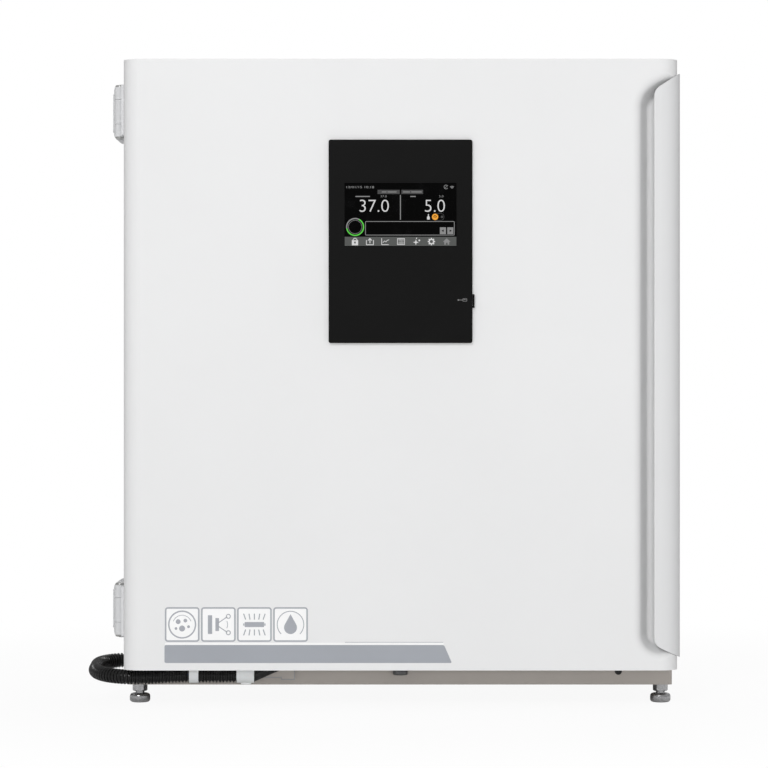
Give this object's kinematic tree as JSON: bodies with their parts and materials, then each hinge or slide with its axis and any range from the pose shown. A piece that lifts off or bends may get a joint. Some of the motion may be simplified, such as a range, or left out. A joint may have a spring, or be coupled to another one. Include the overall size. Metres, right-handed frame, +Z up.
{
  "type": "carbon dioxide incubator",
  "caption": "Bench-top gas incubator: painted cabinet with stainless chamber, inner glass door and a large outer door with scooped grip, display panel and side hinges, on levelling feet.",
  "frame": {"origin": "on the floor, midway between the four levelling feet", "axes": "+X to the right seen from the front, +Y from the door to the back, +Z up"},
  "size_m": [0.8375, 0.7642, 0.905],
  "materials": {
    "white_paint": "satin",
    "foam": "matte",
    "stainless": "satin",
    "liner_paint": "satin",
    "frame_plastic": "matte",
    "grey_rubber": "matte",
    "silicone": "matte",
    "glass": "gloss",
    "lamp_glass": "gloss",
    "screen_glass": "gloss",
    "black_plastic": "matte",
    "black_hose": "matte",
    "white_nylon": "matte",
    "zinc_steel": "satin",
    "brass": "satin",
    "circuit_board": "satin"
  },
  "bodies": {
    "cabinet": {"cabinet_shell": "white_paint", "cabinet_insulation": "foam", "mouth_frame": "frame_plastic", "chamber_liner": "stainless", "chamber_gasket": "grey_rubber", "base_plinth": "white_paint", "foot_lock_nuts": "zinc_steel", "shelf_rails": "stainless", "shelf_tray_1": "stainless", "shelf_tray_2": "stainless", "shelf_tray_3": "stainless", "humidity_pan": "stainless", "humidity_pan_cover": "stainless", "rear_duct": "stainless", "fan_motor": "zinc_steel", "uv_lamp": "lamp_glass", "uv_lamp_holders": "black_plastic", "gas_sensor": "stainless", "temperature_probe": "stainless", "port_tube": "white_nylon", "rear_cover": "white_paint", "power_inlet": "black_plastic", "gas_barbs": "brass", "alarm_terminals": "black_plastic", "control_board": "circuit_board", "gas_valve": "zinc_steel", "lock_housing": "zinc_steel", "cabinet_hinge_leaves": "white_paint", "hinge_pins": "zinc_steel", "hinge_covers": "white_paint", "conduit_gland": "black_hose", "conduit_fixed": "black_hose", "conduit_flex": "black_hose", "glass_hinge_brackets": "stainless", "latch_catch": "stainless"},
    "outer_door": {"door_skin": "white_paint", "door_insulation": "foam", "door_liner": "liner_paint", "door_gasket": "grey_rubber", "door_handle": "white_paint", "door_strike": "zinc_steel", "display_housing": "black_plastic", "display_screen": "screen_glass", "door_hinge_leaves": "white_paint", "conduit_door": "black_hose", "conduit_sleeve": "black_hose", "conduit_clips": "white_nylon"},
    "usb_flap": {"usb_cover": "black_plastic"},
    "glass_door": {"glass_pane": "glass", "glass_hinge_clamps": "stainless"},
    "latch": {"glass_latch": "white_nylon"},
    "fan": {"fan_impeller": "black_plastic"},
    "outer_plug": {"port_plug_outer": "silicone"},
    "inner_plug": {"port_plug_inner": "silicone"},
    "rocker": {"power_switch": "black_plastic"},
    "bolt": {"lock_bolt": "zinc_steel"},
    "foot_front_left": {"foot_front_left": "zinc_steel"},
    "foot_front_right": {"foot_front_right": "zinc_steel"},
    "foot_rear_left": {"foot_rear_left": "zinc_steel"},
    "foot_rear_right": {"foot_rear_right": "zinc_steel"}
  },
  "joints": [
    {"name": "outer_door_swing", "type": "hinge", "parent": "cabinet", "child": "outer_door", "pos_m": [-0.396, -0.334, 0.485], "axis": [0, 0, -1], "range_deg": [0, 120], "deforming": ["conduit_flex"]},
    {"name": "glass_door_swing", "type": "hinge", "parent": "cabinet", "child": "glass_door", "pos_m": [-0.3425, -0.3265, 0.48], "axis": [0, 0, -1], "range_deg": [0, 110]},
    {"name": "glass_latch_turn", "type": "hinge", "parent": "glass_door", "child": "latch", "pos_m": [0.3145, -0.3266, 0.48], "axis": [0, -1, 0], "range_deg": [0, 90]},
    {"name": "usb_cover_hinge", "type": "hinge", "parent": "outer_door", "child": "usb_flap", "pos_m": [0.1015, -0.402, 0.5595], "axis": [0, 1, 0], "range_deg": [0, 100]},
    {"name": "fan_spin", "type": "hinge", "parent": "cabinet", "child": "fan", "pos_m": [0, 0.2, 0.64], "axis": [0, 1, 0], "continuous": true},
    {"name": "port_plug_outer_pull", "type": "slide", "parent": "cabinet", "child": "outer_plug", "axis": [0, 1, 0], "range_m": [0, 0.03]},
    {"name": "port_plug_inner_pull", "type": "slide", "parent": "cabinet", "child": "inner_plug", "axis": [0, -1, 0], "range_m": [0, 0.03]},
    {"name": "power_switch_rock", "type": "hinge", "parent": "cabinet", "child": "rocker", "pos_m": [-0.283, 0.3282, 0.15], "axis": [1, 0, 0], "range_deg": [0, 16]},
    {"name": "lock_bolt_rise", "type": "slide", "parent": "cabinet", "child": "bolt", "axis": [0, 0, 1], "range_m": [0, 0.007]},
    {"name": "foot_front_left_adjust", "type": "slide", "parent": "cabinet", "child": "foot_front_left", "axis": [0, 0, -1], "range_m": [-0.003, 0.008]},
    {"name": "foot_front_right_adjust", "type": "slide", "parent": "cabinet", "child": "foot_front_right", "axis": [0, 0, -1], "range_m": [-0.003, 0.008]},
    {"name": "foot_rear_left_adjust", "type": "slide", "parent": "cabinet", "child": "foot_rear_left", "axis": [0, 0, -1], "range_m": [-0.003, 0.008]},
    {"name": "foot_rear_right_adjust", "type": "slide", "parent": "cabinet", "child": "foot_rear_right", "axis": [0, 0, -1], "range_m": [-0.003, 0.008]}
  ],
  "couplings": [
    {"joint": "glass_door_swing", "follows": "outer_door_swing", "ratio": 0.9166}
  ]
}
